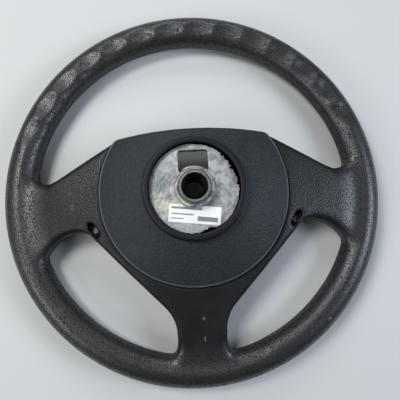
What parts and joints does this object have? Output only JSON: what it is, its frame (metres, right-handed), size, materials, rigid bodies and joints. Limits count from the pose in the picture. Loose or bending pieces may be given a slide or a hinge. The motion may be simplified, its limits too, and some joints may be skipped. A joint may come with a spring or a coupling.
{
  "type": "car steering wheel",
  "caption": "Car steering wheel without its centre module: soft moulded rim with finger grips, domed rear cover, cast hub with a column bore, and sprung horn buttons in the side spokes.",
  "frame": {"origin": "on the hub axis, in the plane that the front of the rim rests on", "axes": "+Z along the hub axis to the steering column, +Y to twelve o'clock, +X to the right as seen from the back, as the names left and right are"},
  "size_m": [0.38, 0.38, 0.085],
  "materials": {
    "cast_core": "rough casting",
    "steel_bush": "turned",
    "foam_skin": "leather grain",
    "cover_plastic": "fine grain",
    "screw_steel": "plated",
    "label_paper": "satin",
    "horn_plastic": "fine grain",
    "spring_steel": "rolled",
    "contact_brass": "turned"
  },
  "bodies": {
    "wheel": {"armature": "cast_core", "hub_bush": "steel_bush", "foam_moulding": "foam_skin", "rear_cover": "cover_plastic", "cover_screws": "screw_steel", "label": "label_paper", "horn_housing_left": "horn_plastic", "horn_spring_left": "spring_steel", "horn_contact_left": "contact_brass", "horn_housing_right": "horn_plastic", "horn_spring_right": "spring_steel", "horn_contact_right": "contact_brass"},
    "horn_button_left": {"horn_button_left": "horn_plastic"},
    "horn_button_right": {"horn_button_right": "horn_plastic"}
  },
  "joints": [
    {"name": "horn_press_left", "type": "slide", "parent": "wheel", "child": "horn_button_left", "axis": [0, 0, 1], "range_m": [0, 0.002], "stiffness_N_per_m": 3000, "springref_m": -0.0005, "deforming": ["horn_spring_left"]},
    {"name": "horn_press_right", "type": "slide", "parent": "wheel", "child": "horn_button_right", "axis": [0, 0, 1], "range_m": [0, 0.002], "stiffness_N_per_m": 3000, "springref_m": -0.0005, "deforming": ["horn_spring_right"]}
  ]
}
